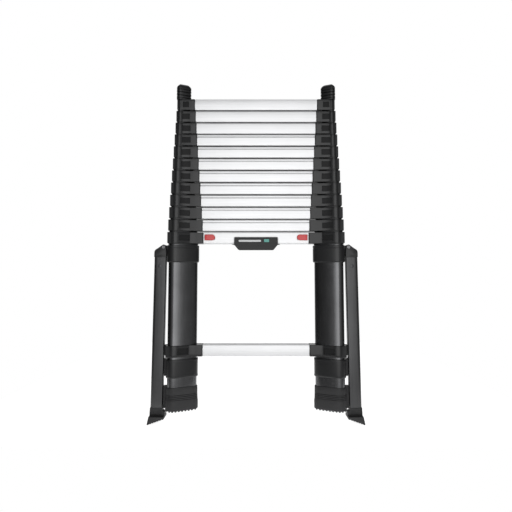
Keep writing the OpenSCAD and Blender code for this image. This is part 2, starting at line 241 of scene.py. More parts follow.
def combine(target, cutters, operation="DIFFERENCE", smooth=32.0):
    """Cuts or joins other objects into target and removes them."""
    for cutter in cutters:
        modifier = target.modifiers.new("combine", "BOOLEAN")
        modifier.operation = operation
        modifier.solver = "EXACT"
        modifier.object = cutter
    bpy.context.view_layer.update()
    depsgraph = bpy.context.evaluated_depsgraph_get()
    result = bpy.data.meshes.new_from_object(target.evaluated_get(depsgraph))
    old = target.data
    target.modifiers.clear()
    target.data = result
    result.name = target.name
    bpy.data.meshes.remove(old)
    for cutter in cutters:
        bpy.data.objects.remove(cutter)
    clean(target.data, smooth)
    return target


def finish_piece(obj, body, material, slot, *nodes):
    """Gives a piece its material and its body, and hides the CAD nodes it stands for; the slot is not used."""
    obj.data.materials.clear()
    obj.data.materials.append(material)
    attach(obj, body)
    if nodes:
        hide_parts(*nodes)
    return obj


def along_y(outline, half_depth, bevel=0.0, y=0.0):
    """Solid with an outline in X and Z, centred on y, with rounded front and back edges."""
    shell = Shell()
    rows = [(-half_depth, bevel), (-half_depth + 0.3 * bevel, 0.3 * bevel), (-half_depth + bevel, 0.0),
            (half_depth - bevel, 0.0), (half_depth - 0.3 * bevel, 0.3 * bevel), (half_depth, bevel)]
    if bevel == 0:
        rows = [rows[0], rows[-1]]
    shell.closed_loft([[(x, y + depth, z) for x, z in inset(outline, d)] for depth, d in rows])
    return shell


def block(x0, x1, y0, y1, z0, z1):
    """Plain box for cutting, as a shell."""
    shell = Shell()
    shell.closed_loft([[(x0, y0, z), (x1, y0, z), (x1, y1, z), (x0, y1, z)] for z in (z0, z1)])
    return shell


def lathe_y(profile, x, z, steps=40):
    """Turns (radius, y) points around an axis along Y."""
    shell = Shell()
    turn = [2 * pi * i / steps for i in range(steps)]
    shell.closed_loft([[(x + r * cos(a), y, z + r * sin(a)) for a in turn] for r, y in profile])
    return shell


def rod(r, start, end, steps=28):
    """Plain cylinder along X or Y for cutting, as a shell."""
    shell = Shell()
    turn = [2 * pi * i / steps for i in range(steps)]
    if start[0] != end[0]:
        rings = [[(p[0], p[1] + r * cos(a), p[2] + r * sin(a)) for a in turn] for p in (start, end)]
    else:
        rings = [[(p[0] + r * cos(a), p[1], p[2] + r * sin(a)) for a in turn] for p in (start, end)]
    shell.closed_loft(rings)
    return shell


# ---------------------------------------------------------------- materials
def new_material(name):
    """Empty material with a Principled shader, and short ways to add nodes and links."""
    material = bpy.data.materials.new(name)
    material.use_nodes = True
    tree = material.node_tree
    shader = tree.nodes["Principled BSDF"]

    def add(kind, **values):
        made = tree.nodes.new(kind)
        for key, value in values.items():
            if hasattr(made, key):
                setattr(made, key, value)
            else:
                made.inputs[key.replace("_", " ")].default_value = value
        return made

    def link(source, target):
        tree.links.new(source, target)

    return material, shader, add, link


def ramp(node, stops):
    """Sets a colour ramp's stops: position and a grey or a colour."""
    points = node.color_ramp.elements
    while len(points) < len(stops):
        points.new(0.5)
    for point, (position, value) in zip(points, stops):
        point.position = position
        point.color = (value, value, value, 1) if isinstance(value, float) else (*value, 1)


def textured(name, colour, metallic, rough, grain, grain_bump, blotch, stretch=(1, 1, 1), specular=0.5,
             wear=0.0, wear_colour=(0.3, 0.3, 0.31), coat=0.0, painted_shade=0.0):
    """Surface with fine grain in its bump and roughness, and with blotches, worn edges and painted shade in
    hollows.
    """
    material, shader, add, link = new_material(name)
    where = add("ShaderNodeTexCoord")
    mapping = add("ShaderNodeMapping")
    mapping.inputs["Scale"].default_value = stretch
    link(where.outputs["Object"], mapping.inputs["Vector"])

    fine = add("ShaderNodeTexNoise", Scale=grain, Detail=6.0, Roughness=0.62)
    link(mapping.outputs["Vector"], fine.inputs["Vector"])
    slow = add("ShaderNodeTexNoise", Scale=14.0, Detail=4.0, Roughness=0.55)
    link(where.outputs["Object"], slow.inputs["Vector"])

    tone = add("ShaderNodeValToRGB")
    dark = tuple(c * (1 - blotch) for c in colour)
    light = tuple(min(c * (1 + blotch), 1) for c in colour)
    ramp(tone, [(0.3, dark), (0.7, light)])
    link(slow.outputs["Fac"], tone.inputs["Fac"])
    grain_tone = add("ShaderNodeValToRGB")
    ramp(grain_tone, [(0.25, 0.86), (0.75, 1.0)])
    link(fine.outputs["Fac"], grain_tone.inputs["Fac"])
    mixed = add("ShaderNodeMix", data_type="RGBA", blend_type="MULTIPLY")
    mixed.inputs["Factor"].default_value = 1.0
    link(tone.outputs["Color"], mixed.inputs["A"])
    link(grain_tone.outputs["Color"], mixed.inputs["B"])
    colour_out = mixed.outputs["Result"]

    if wear:
        bevel = add("ShaderNodeBevel", samples=4)
        bevel.inputs["Radius"].default_value = 0.0009
        facing = add("ShaderNodeNewGeometry")
        dot = add("ShaderNodeVectorMath", operation="DOT_PRODUCT")
        link(bevel.outputs["Normal"], dot.inputs[0])
        link(facing.outputs["Normal"], dot.inputs[1])
        edge = add("ShaderNodeValToRGB")
        ramp(edge, [(0.86, wear), (0.985, 0.0)])
        link(dot.outputs["Value"], edge.inputs["Fac"])
        breakup = add("ShaderNodeMath", operation="MULTIPLY")
        link(edge.outputs["Color"], breakup.inputs[0])
        link(slow.outputs["Fac"], breakup.inputs[1])
        worn = add("ShaderNodeMix", data_type="RGBA")
        link(breakup.outputs["Value"], worn.inputs["Factor"])
        link(colour_out, worn.inputs["A"])
        worn.inputs["B"].default_value = (*wear_colour, 1)
        colour_out = worn.outputs["Result"]
    shader.inputs["Specular IOR Level"].default_value = specular
    # Painted shade: ambient occlusion darkens the colour and dims the specular in grooves, gaps between parts
    # and other hollows.
    if painted_shade:
        hollow = add("ShaderNodeAmbientOcclusion", samples=6, Distance=0.007)
        shade = add("ShaderNodeMapRange")
        shade.inputs["From Min"].default_value = 0.35
        shade.inputs["From Max"].default_value = 0.85
        shade.inputs["To Min"].default_value = 1 - painted_shade
        link(hollow.outputs["AO"], shade.inputs["Value"])
        shaded_colour = add("ShaderNodeMix", data_type="RGBA", blend_type="MULTIPLY")
        shaded_colour.inputs["Factor"].default_value = 1.0
        link(colour_out, shaded_colour.inputs["A"])
        link(shade.outputs["Result"], shaded_colour.inputs["B"])
        colour_out = shaded_colour.outputs["Result"]
        dull = add("ShaderNodeMath", operation="MULTIPLY")
        dull.inputs[1].default_value = specular
        link(shade.outputs["Result"], dull.inputs[0])
        link(dull.outputs["Value"], shader.inputs["Specular IOR Level"])
    link(colour_out, shader.inputs["Base Color"])

    polish = add("ShaderNodeMapRange")
    polish.inputs["To Min"].default_value = rough - 0.07
    polish.inputs["To Max"].default_value = rough + 0.07
    link(fine.outputs["Fac"], polish.inputs["Value"])
    link(polish.outputs["Result"], shader.inputs["Roughness"])

    bump = add("ShaderNodeBump", Strength=grain_bump, Distance=0.0004)
    link(fine.outputs["Fac"], bump.inputs["Height"])
    link(bump.outputs["Normal"], shader.inputs["Normal"])
    shader.inputs["Metallic"].default_value = metallic
    shader.inputs["Coat Weight"].default_value = coat
    return material


# Where a material below darkens its hollows, such as the dark lines between rungs and in the collar seams,
# that is painted shade from ambient occlusion.
TUBE_METAL = textured("anodised_tube", (0.140, 0.141, 0.145), 1.0, 0.22, 420, 0.05, 0.12,
                      stretch=(1, 1, 0.03), wear=0.5)
COLLAR_PLASTIC = textured("collar_plastic", (0.013, 0.0133, 0.014), 0.0, 0.30, 900, 0.16, 0.10,
                          specular=0.42, wear=0.35, wear_colour=(0.11, 0.11, 0.115), painted_shade=0.75)
PANEL_PLASTIC = textured("panel_plastic", (0.007, 0.0072, 0.0076), 0.0, 0.55, 620, 0.5, 0.10, specular=0.22,
                         painted_shade=0.5)
CAP_PLASTIC = textured("cap_plastic", (0.013, 0.0133, 0.014), 0.0, 0.30, 900, 0.16, 0.10,
                       specular=0.42, wear=0.4, wear_colour=(0.12, 0.12, 0.125), painted_shade=0.75)
RUNG_METAL = textured("rung_aluminium", (0.81, 0.815, 0.825), 0.35, 0.38, 300, 0.10, 0.02,
                      stretch=(0.02, 1, 1), wear=0.25, wear_colour=(0.95, 0.95, 0.96), painted_shade=0.5)
STILE_RUBBER, LEG_RUBBER = (textured(name, (0.024, 0.024, 0.025), 0.0, 0.58, 700, 0.45, 0.16,
                                     specular=0.35, wear=0.25, wear_colour=(0.08, 0.08, 0.08), painted_shade=0.7)
                            for name in ("stile_rubber", "leg_rubber"))
LEG_METAL = textured("leg_aluminium", (0.078, 0.0785, 0.080), 0.85, 0.33, 420, 0.06, 0.08,
                     stretch=(1, 1, 0.03), specular=0.5, wear=0.5, painted_shade=0.6)
HEAD_PLASTIC = textured("head_plastic", (0.013, 0.0133, 0.014), 0.0, 0.34, 900, 0.18, 0.10,
                        specular=0.42, wear=0.35, wear_colour=(0.11, 0.11, 0.115), painted_shade=0.7)
RIVET_STEEL = textured("rivet_steel", (0.08, 0.08, 0.085), 0.9, 0.38, 600, 0.15, 0.10)
PIN_STEEL = textured("pin_steel", (0.28, 0.28, 0.29), 0.95, 0.34, 600, 0.12, 0.10)
BOLT_STEEL = textured("bolt_steel", (0.42, 0.42, 0.43), 1.0, 0.28, 500, 0.10, 0.06, stretch=(0.05, 1, 1))
BUTTON_RED = textured("button_red", (0.56, 0.036, 0.038), 0.0, 0.34, 900, 0.12, 0.07,
                      wear=0.35, wear_colour=(0.80, 0.25, 0.25), coat=0.15)
PLATE_PLASTIC = textured("plate_plastic", (0.014, 0.0143, 0.015), 0.0, 0.42, 900, 0.25, 0.10,
                         specular=0.3, wear=0.4, wear_colour=(0.12, 0.12, 0.125), painted_shade=0.7)
LABEL_PAINT = textured("label_paint", (0.62, 0.63, 0.64), 0.0, 0.5, 800, 0.10, 0.05)
WINDOW_GREEN = textured("window_green", (0.045, 0.30, 0.25), 0.0, 0.22, 500, 0.06, 0.08, coat=0.4)


# ---------------------------------------------------------------- stile tubes
def tube(k):
    """Tube k around the stile's centre line, hollow; add_tubes cuts its lock holes."""
    low, high = box_mm("stile_tubes_" + two(k))
    outer_r, inner_r = corner_r(k), corner_r(k) - TUBE_WALL
    edge = 0.25
    rows = [(inner_r, low.z + edge), (inner_r + edge, low.z), (outer_r - edge, low.z),
            (outer_r, low.z + edge), (outer_r, high.z - edge), (outer_r - edge, high.z),
            (inner_r + edge, high.z), (inner_r, high.z - edge)]
    shell = Shell()
    rings = [[(STILE_X + x, y, z) for x, y in stile_outline(core_r(k), r)] for r, z in rows]
    first, last = shell.loft(rings)
    shell.bridge(last, first)
    return shell


def add_tubes(k, body):
    collar_mid = sum(box_mm("rung_" + two(k + 1))[i].z for i in (0, 1)) / 2
    holes = [collar_mid] if k < SECTIONS else []
    if k > 1:
        holes.append(collar_mid - RUNG_STEP)
    for side, mirror in (("left", True), ("right", False)):
        sign = -1 if mirror else 1
        made = build("stile_tube_%s_%s" % (two(k), side), tube(k), mirror=mirror)
        outside, centre = STILE_X - reach(k) - 2, STILE_X - 2
        rods = [rod(LOCK_HOLE_R, (sign * outside, 0, z), (sign * centre, 0, z)) for z in holes]
        combine(made, [build("hole", one) for one in rods])
        finish_piece(made, body, TUBE_METAL, "anodised_tube", "stile_tubes_" + two(k))


# ---------------------------------------------------------------- collars and brackets
GROOVE_ANGLE = -81.0     # where the seam near the front corner lies
STRIP_ANGLE = -61        # where the strip that runs outwards from the seam starts
GROOVE_DEPTH = 2.0
PANEL_DEPTH = 1.3
BOSS_CORNER = 3.0


def collar_plan(k, wall, boss_half, boss_end, grow, groove, panel):
    """Outline of a collar seen from above: the stile's shape with a boss towards the rung."""
    core = core_r(k)
    corner = corner_r(k) + wall
    flat_x = core / 2 + corner
    half = boss_half + grow

    def front_y(x):
        return -max(2 / SQRT3_2 / 2 * (flat_x + grow) + x / SQRT3_2 / 2, half)

    front = [(flat_x + grow, -core * SQRT3_2 * t) for t in (0, 0.35, 0.7)]
    strip_y = -core * SQRT3_2 - (corner + grow) * sin(radians(-STRIP_ANGLE))
    strip_r = 1.8
    front += arc(flat_x + grow - strip_r, strip_y + strip_r, strip_r, 0, -90, 4)
    seam = degrees((3.5 + 0.05 * corner) / 2 / corner)
    angles = [STRIP_ANGLE] + [GROOVE_ANGLE + d for d in (seam + 1.5, seam, -seam, -seam - 1.5)]
    angles += [a for a in (-98, -105, -112, -120) if a < GROOVE_ANGLE - seam - 4]
    for a in angles:
        sunk = GROOVE_DEPTH * groove if abs(a - GROOVE_ANGLE) < seam + 0.5 else 0
        r = corner + grow - sunk
        front.append((core / 2 + r * cos(radians(a)), -core * SQRT3_2 + r * sin(radians(a))))
    end = -boss_end + BOSS_CORNER
    crease = 2 * SQRT3_2 * boss_half - 2 * flat_x
    p0, p1 = panel_span(k)
    stations = sorted({p0, p0 - 0.5, p1 + 0.5, p1, crease, (crease + end) / 2, end}, reverse=True)
    for x in stations:
        if end <= x < core / 2 - corner / 2 - 0.6:
            sunk = PANEL_DEPTH * panel if p1 < x < p0 else 0
            front.append((x, front_y(x) + sunk))
    boss_r = BOSS_CORNER + grow
    front += arc(end, -(boss_half - BOSS_CORNER), boss_r, 270, 180, 5)[1:]
    front.append((-boss_end - grow, -boss_half * 0.4))
    front.append((-boss_end - grow, 0.0))
    back = [(x, -y) for x, y in reversed(front[1:-1])]
    return front + back


def panel_span(k):
    """Where the sunk panel starts and ends along X, from the stile's centre."""
    return core_r(k) / 2 - (corner_r(k) + COLLAR_WALL) / 2 - 3.0, -min(25.0, reach(k) + 1)


def inlay_panels(made, k, middle, half):
    """Gives the faces of the sunk panels their own darker plastic."""
    made.data.materials.append(PANEL_PLASTIC)
    p0, p1 = panel_span(k)
    for face in made.data.polygons:
        x, y, z = (c / MM for c in face.center)
        inside = STILE_X + p1 + 0.3 < abs(x) < STILE_X + p0 - 0.3 and abs(z - middle) < half
        if inside and abs(face.normal.y) > 0.6 and abs(y) > core_r(k) * SQRT3_2 / 2 + corner_r(k) * 0.55:
            face.material_index = 1


def ring_at(points, z):
    return [(STILE_X + x, y, z) for x, y in points]


def collar(k):
    """Collar k: body with seam, panel and boss, neck below, socket inside and opening above."""
    low, high = box_mm("collars_" + two(k))
    top, neck_z = high.z, low.z
    body_z = top - COLLAR_H
    middle = (top + body_z) / 2
    boss_half = (LAST_WIDE_RUNG_DEPTH if k < LAST_WIDE_RUNG else SLIM_RUNG_DEPTH) / 2 + 2
    boss_end = reach(k) + BOSS_REACH
    panel_half = 0.245 * COLLAR_H
    rows = [(body_z, -1.0, 0), (body_z + 0.5, -0.6, 0), (body_z + 1.3, -0.15, 0), (body_z + 1.9, 0, 0),
            (middle - panel_half - 0.5, 0, 0), (middle - panel_half, 0, 1), (middle + panel_half, 0, 1),
            (middle + panel_half + 0.5, 0, 0), (top - 1.3, 0, 0), (top - 0.5, -0.25, 0), (top, -0.9, 0)]
    shell = Shell()
    plans = [ring_at(collar_plan(k, COLLAR_WALL, boss_half, boss_end, grow, 1, panel), z)
             for z, grow, panel in rows]
    bottom, upper = shell.loft(plans)

    def ring(grow, z, size=k):
        return ring_at(stile_outline(core_r(size), corner_r(size) + grow), z)

    neck = 1.2
    neck_top, neck_low = shell.loft([ring(neck, body_z), ring(neck, neck_z + 0.4), ring(neck - 0.4, neck_z)])
    shell.fill(bottom, neck_top)
    under = top - PLATE_T
    socket_low, socket_top = shell.loft([ring(SEAT_GAP, neck_z), ring(SEAT_GAP, under)])
    shell.bridge(neck_low, socket_low)
    if k < SECTIONS:
        open_low, open_top = shell.loft([ring(SLIDE_GAP, under, k + 1), ring(SLIDE_GAP, top - 0.5, k + 1),
                                         ring(SLIDE_GAP + 0.5, top, k + 1)])
        shell.bridge(socket_top, open_low)
        shell.fill(upper, open_top)
    else:
        shell.fill(socket_top)
        shell.fill(upper)
    return shell


def add_collars(k, body):
    for side, mirror in (("left", True), ("right", False)):
        made = build("collar_%s_%s" % (two(k), side), collar(k), mirror=mirror)
        finish_piece(made, body, COLLAR_PLASTIC, "collar_plastic", "collars_" + two(k))
        inlay_panels(made, k, box_mm("collars_" + two(k))[1].z - COLLAR_H / 2, 0.245 * COLLAR_H)


def sleeve(rows):
    """Sleeve around the base tube from rows of (height, wall)."""
    shell = Shell()
    core, corner = core_r(1), corner_r(1)
    low, high = shell.loft([ring_at(stile_outline(core, corner + wall), z) for z, wall in rows])
    bore = [ring_at(stile_outline(core, corner + SEAT_GAP), z) for z in (rows[0][0], rows[-1][0])]
    bore_low, bore_high = shell.loft(bore)
    shell.bridge(low, bore_low)
    shell.bridge(high, bore_high)
    return shell


def pad(x_end, z0, z1, bevel=1.2):
    """Rest for the folded leg, on the outer side of a fitting."""
    x0, r = STILE_X + core_r(1) / 2 + corner_r(1) + 0.8, bevel
    shell = Shell()
    rows = [(x0, 0), (x_end - r, 0), (x_end - 0.3 * r, 0.3 * r), (x_end, r)]
    shell.closed_loft([[(x, -PAD_HALF + d, z0 + d), (x, PAD_HALF - d, z0 + d), (x, PAD_HALF - d, z1 - d),
                        (x, -PAD_HALF + d, z1 - d)] for x, d in rows])
    return shell


def bottom_bracket():
    """Bracket that carries the lowest rung."""
    low, high = box_mm("bottom_brackets")
    wall = 3.5
    half, end = LAST_WIDE_RUNG_DEPTH / 2 + 2, reach(1) + BOSS_REACH
    mid = (low.z + high.z) / 2
    rows = [(low.z, -1.3, 0), (low.z + 0.5, -0.6, 0), (low.z + 1.5, 0, 0), (mid - 8.5, 0, 0), (mid - 8, 0, 1),
            (mid + 8, 0, 1), (mid + 8.5, 0, 0), (high.z - 1.5, 0, 0), (high.z - 0.5, -0.6, 0),
            (high.z, -1.3, 0)]
    shell = Shell()
    rings = [ring_at(collar_plan(1, wall, half, end, grow, 0.6, panel), z) for z, grow, panel in rows]
    bottom, top = shell.loft(rings)
    bore = [ring_at(stile_outline(core_r(1), corner_r(1) + SEAT_GAP), z) for z in (low.z, high.z)]
    bore_low, bore_high = shell.loft(bore)
    shell.fill(bottom, bore_low)
    shell.fill(top, bore_high)
    return shell


def add_bottom_bracket(side, mirror):
    low, high = box_mm("bottom_brackets")
    made = build("bottom_bracket_" + side, bottom_bracket(), mirror=mirror)
    combine(made, [build("pad", pad(high.x, low.z + 1, high.z - 1), mirror=mirror)], "UNION")
    finish_piece(made, "base", COLLAR_PLASTIC, "collar_plastic", "bottom_brackets")
    inlay_panels(made, 1, (low.z + high.z) / 2, 8)


def add_lower_sleeve(side, mirror):
    low, high = box_mm("lower_sleeves")
    wall, band = 3.4, 5.0
    rows = [(low.z, wall - 1.0), (low.z + 0.4, wall - 0.4), (low.z + 1.2, wall), (low.z + band, wall),
            (low.z + band + 0.4, wall - 0.5), (high.z - band - 0.4, wall - 0.5), (high.z - band, wall),
            (high.z - 1.2, wall), (high.z - 0.4, wall - 0.4), (high.z, wall - 1.0)]
    made = build("lower_sleeve_" + side, sleeve(rows), mirror=mirror)
    combine(made, [build("pad", pad(high.x, low.z + 1, high.z - 1), mirror=mirror)], "UNION")
    finish_piece(made, "base", COLLAR_PLASTIC, "collar_plastic", "lower_sleeves")


def hinge_bracket(mirror, name):
    """Sleeve with a rounded lower edge, and an arm that ends in the tongue the leg hangs on."""
    low = box_mm("hinge_brackets")[0]
    top = box_mm("collars_01")[0].z - 1.4
    wall = 4.0
    turn = [radians(a) for a in (0, 20, 40, 60, 90)]
    rows = [(low.z + 5.0 * (1 - cos(a)), wall - 3.0 * (1 - sin(a))) for a in turn]
    rows += [(top - 9.0, wall), (top - 8.6, wall - 0.7), (top - 7.4, wall - 0.7), (top - 7.0, wall),
             (top - 1.4, wall), (top - 0.5, wall - 0.4), (top, wall - 1.2)]
    made = build(name, sleeve(rows), mirror=mirror)
    sign = -1 if mirror else 1
    inner_x, arm_end = STILE_X + core_r(1) / 2 + corner_r(1) + 0.8, LEG_IN - 0.6
    outline = [(inner_x, low.z + 3.5), (arm_end, low.z + 3.5), (arm_end, PIVOT_Z - 12)]
    outline += arc(PIVOT_X, PIVOT_Z, TONGUE_R, -80, 90, 18) + [(inner_x, PIVOT_Z + 3)]
    arm = build("arm", along_y(outline, TONGUE_HALF, 0.6), mirror=mirror)
    combine(made, [arm], "UNION")
    bore = build("bore", rod(PIN_R + RUN_GAP, (sign * PIVOT_X, -20, PIVOT_Z), (sign * PIVOT_X, 20, PIVOT_Z)))
    return combine(made, [bore])


# ---------------------------------------------------------------- rungs
def rung_profile(depth, height, has_lip):
    """Section of a rung in Y and Z, anticlockwise, with a ribbed tread and, on some, a groove under a lip."""
    r, rib, rib_h, flute = 3.2, 2.6, 0.7, 1.4
    half, top = depth / 2, height / 2
    lip_h, groove_h, groove_d, crown = 6.0, 3.3, 2.4, 0.8

    def side(sign):
        levels = [(-top + r) * (1 - t / 4) for t in range(4)]
        if has_lip:
            g0, g1 = top - lip_h - groove_h, top - lip_h
            points = [(z, 0) for z in levels + [0, g0]]
            points += [(g0 + 0.3, groove_d), (g1 - 0.2, groove_d)]
            points += [(z, 0) for z in (g1, (g1 + top - r) / 2, top - r)]
        else:
            points = [(z, 0) for z in levels + [0] + [-z for z in reversed(levels)]]
        return [(sign * (half - d - crown * (z / (top - r)) ** 2), z) for z, d in points]

    rim = half - crown - r
    points = arc(rim, -top + r, r, -90, 0, 5)[:-1] + side(1) + arc(rim, top - r, r, 0, 90, 5)[1:]
    count = int((depth - 2 * r - 2 * crown - 2) / (rib + flute))
    span = count * (rib + flute) - flute
    y = span / 2
    for i in range(count):
        points += [(y, top), (y - rib, top)]
        if i < count - 1:
            points += [(y - rib - 0.3, top - rib_h), (y - rib - flute + 0.3, top - rib_h)]
        y -= rib + flute
    points += arc(-rim, top - r, r, 90, 180, 5)[:-1]
    points += list(reversed(side(-1)))
    points += arc(-rim, -top + r, r, 180, 270, 5)[1:]
    return points


def rung(n):
    low, high = box_mm("rung_" + two(n))
    depth, height, mid = high.y - low.y, high.z - low.z, (low.z + high.z) / 2
    profile = rung_profile(depth, height, 2 < n <= LAST_WIDE_RUNG)
    inner = round_rect(depth - 2 * RUNG_WALL - 2.6, height - 2 * RUNG_WALL - 1.6, (2, 2, 2, 2), 4)
    edge = 0.35
    shell = Shell()
    small = inset(profile, edge)
    rows = [(low.x, small), (low.x + edge, profile), (high.x - edge, profile), (high.x, small)]
    first, last = shell.loft([[(x, y, mid + z) for y, z in ring] for x, ring in rows])
    in_first, in_last = shell.loft([[(x, y, mid + z) for y, z in inner] for x in (low.x, high.x)])
    shell.fill(first, in_first)
    shell.fill(last, in_last)
    return shell


def add_rung(n, body):
    made = build("rung_bar_" + two(n), rung(n), smooth=28)
    if n == 2:
        combine(made, button_slots(), smooth=28)
    finish_piece(made, body, RUNG_METAL, "rung_aluminium", "rung_" + two(n))


def button_slots():
    low, high = box_mm("rung_02")
    button_low, button_high = box_mm("release_button_right")
    stem_z = (low.z + high.z) / 2
    stem_x = (button_low.x + button_high.x) / 2
    x0, x1 = stem_x - STEM_W / 2 - BUTTON_TRAVEL - 0.4, stem_x + STEM_W / 2 + 0.4
    slots = []
    for sign in (-1, 1):
        a, b = sorted((sign * x0, sign * x1))
        slots.append(build("slot", block(a, b, low.y - 2, low.y + 6, stem_z - STEM_H / 2 - 0.4,
                                         stem_z + STEM_H / 2 + 0.4)))
    return slots


# ---------------------------------------------------------------- release buttons, bolts, plate
def add_button(side, mirror):
    """Button cap with grip ribs, and the stem and yoke that carry the lock bolt."""
    low, high = box_mm("release_button_right")
    rung_low, rung_high = box_mm("rung_02")
    rung_mid = (rung_low.z + rung_high.z) / 2
    cap_back, cap_front = rung_low.y - 0.3, low.y
    r = (high.z - rung_mid - 1.5)
    mid = rung_mid + 1.5
    outline = [(high.x, mid - r), (high.x, mid + r)] + arc(low.x + r, mid, r, 90, 270, 20)
    rows = [(cap_back, 0.35), (cap_back - 0.3, 0.0), (cap_front + 1.3, 0.0), (cap_front + 0.5, 0.5),
            (cap_front, 1.5)]
    shell = Shell()
    shell.closed_loft([[(x, y, z) for x, z in inset(outline, d)] for y, d in rows])
    cap = build("release_button_cap_" + side, shell, mirror=mirror)
    sign = -1 if mirror else 1
    stem_x = (low.x + high.x) / 2
    dish_w = 15.0
    ribs = []
    for i in range(4):
        x = stem_x - 4.5 + 3.4 * i
        a, b = sorted((sign * (x - 0.6), sign * (x + 0.6)))
        flute = block(a, b, cap_front - 1, cap_front + 0.55, mid - dish_w / 3, mid + dish_w / 3)
        ribs.append(build("flute", flute))
    combine(cap, ribs)
    a, b = sorted((sign * (stem_x - STEM_W / 2), sign * (stem_x + STEM_W / 2)))
    stem = build("stem", block(a, b, cap_back - 1, 0, rung_mid - STEM_H / 2, rung_mid + STEM_H / 2))
    yoke = build("yoke", block(a, b, -YOKE / 2, YOKE / 2, rung_mid - YOKE / 2, rung_mid + YOKE / 2))
    combine(cap, [stem], "UNION")
    combine(cap, [yoke], "UNION")
    bore = build("bore", rod(BOLT_R + RUN_GAP, (a - 1, 0, rung_mid), (b + 1, 0, rung_mid)))
    combine(cap, [bore])
    finish_piece(cap, "button_" + side, BUTTON_RED, "button_red", "release_button_" + side)


def add_bolt(side, mirror):
    low, high = box_mm("lock_bolt_right")
    mid, r = (low.z + high.z) / 2, (high.z - low.z) / 2
    turn = [2 * pi * i / 40 for i in range(40)]
    rows = [(low.x, r - 0.6), (low.x + 0.6, r), (high.x - 0.8, r), (high.x - 0.2, r - 0.5), (high.x, r - 1.1)]
    shell = Shell()
    shell.closed_loft([[(x, q * cos(a), mid + q * sin(a)) for a in turn] for x, q in rows])
    made = build("lock_bolt_%s_turned" % side, shell, mirror=mirror)
    finish_piece(made, "button_" + side, BOLT_STEEL, "bolt_steel", "lock_bolt_" + side)


def add_centre_plate():
    low, high = box_mm("centre_plate")
    mid = low.z + 15.2                  # where the wings stick out
    half, low_half, wing = 59.0, 47.0, (high.x - low.x) / 2
    right = [(low_half - 2, low.z), (low_half + 1.2, low.z + 1.6), (half - 1, mid - 1.5), (wing, mid),
             (half, mid + 1.5), (half, high.z - 2), (half - 2, high.z)]
    outline = right + [(-x, z) for x, z in reversed(right)]
    rows = [(high.y, 0.0), (low.y + 1.0, 0.0), (low.y + 0.3, 0.3), (low.y, 1.0)]
    shell = Shell()
    shell.closed_loft([[(x, y, z) for x, z in inset(outline, d)] for y, d in rows])
    made = build("centre_plate_moulding", shell)
    window_low, window_high = box_mm("indicator_window")
    panel_z0, panel_z1 = mid + 3.2, high.z - 3.4
    face = low.y
    recess = build("recess", block(-half + 4, half - 4, face - 1, face + 0.6, panel_z0, panel_z1))
    lower_outline = [(-low_half + 3, low.z + 4), (low_half - 3, low.z + 4), (half - 7, mid - 3.2),
                     (-half + 7, mid - 3.2)]
    lower = build("lower", along_y(lower_outline, 1.0, 0.0, face - 0.5))
    seat = build("seat", block(window_low.x - 0.6, window_high.x + 0.6, face - 1, face + 1.2,
                               window_low.z - 0.6, window_high.z + 0.6))
    combine(made, [recess, lower, seat])
    finish_piece(made, "base", PLATE_PLASTIC, "plate_plastic", "centre_plate")

    bar_x0, bar_x1 = -half + 12, window_low.x - 8
    bar_mid = (panel_z0 + panel_z1) / 2
    bar_outline = [(x + (bar_x0 + bar_x1) / 2, z + bar_mid)
                   for x, z in round_rect(bar_x1 - bar_x0, 5.2, (2.4, 2.4, 2.4, 2.4), 5)]
    bar = build("plate_blank_bar", along_y(bar_outline, 0.35, 0.2, face + 0.3))
    finish_piece(bar, "base", LABEL_PAINT, "plate_plastic")

    pane_mid, pane_size = (window_low + window_high) / 2, window_high - window_low
    pane_outline = [(x + pane_mid.x, z + pane_mid.z)
                    for x, z in round_rect(pane_size.x, pane_size.z, (1.6,) * 4, 4)]
    pane = build("indicator_pane", along_y(pane_outline, 0.8, 0.35, face + 0.25))
    finish_piece(pane, "base", WINDOW_GREEN, "window_green", "indicator_window")


# ---------------------------------------------------------------- feet and caps
def add_foot(side, mirror):
    """Rubber foot: a flared cup with four grooves and rows of lugs under the sole."""
    low, high = box_mm("foot_right")
    lug_h = 3.0
    sole = low.z + lug_h
    wall = 2.3
    rows = [(sole, 2.2), (sole + 0.6, 3.2), (sole + 1.6, 3.9), (high.z - 37.5, 3.9), (high.z - 35.0, 3.2)]
    groove_z, groove_pitch = high.z - 32.6, 4.1
    for i in range(4):
        z = groove_z + i * groove_pitch
        out = 3.1 - 0.15 * i
        rows += [(z, out), (z + 0.3, out - 1.2), (z + 1.3, out - 1.2), (z + 1.6, out)]
    rows += [(high.z - 10.0, 2.5), (high.z - 1.2, wall), (high.z - 0.4, wall - 0.4), (high.z, wall - 1.0)]
    shell = Shell()
    rings = [ring_at(stile_outline(core_r(1), corner_r(1) + out), z) for z, out in rows]
    bottom, top = shell.loft(rings)
    floor = box_mm("stile_tubes_01")[0].z - 0.2
    bore = [ring_at(stile_outline(core_r(1), corner_r(1) + SEAT_GAP), z) for z in (high.z, floor)]
    bore_top, bore_low = shell.loft(bore)
    shell.bridge(top, bore_top)
    shell.fill(bore_low)
    shell.fill(bottom)
    outline = stile_outline(core_r(1), corner_r(1) + 2.6)
    pitch, lug_w = 8.0, 5.2
    x = -reach(1) - 0.5
    while x + lug_w < core_r(1) / 2 + corner_r(1) + 3.0:
        half = min(chord(outline, x), chord(outline, x + lug_w))
        if half > 4:
            add_lug(shell, STILE_X + x, STILE_X + x + lug_w, half, low.z, sole + 0.5)
        x += pitch
    made = build("stile_foot_" + side, shell, mirror=mirror)
    combine(made, [build("pad", pad(high.x, low.z + 4, high.z - 1), mirror=mirror)], "UNION")
    finish_piece(made, "base", STILE_RUBBER, "stile_rubber", "foot_" + side)


def chord(outline, x):
    """Half the width of an outline in Y, at x."""
    best = 0.0
    for (ax, ay), (bx, by) in zip(outline, outline[1:] + outline[:1]):
        if min(ax, bx) <= x <= max(ax, bx) and ax != bx:
            best = max(best, abs(ay + (by - ay) * (x - ax) / (bx - ax)))
    return best


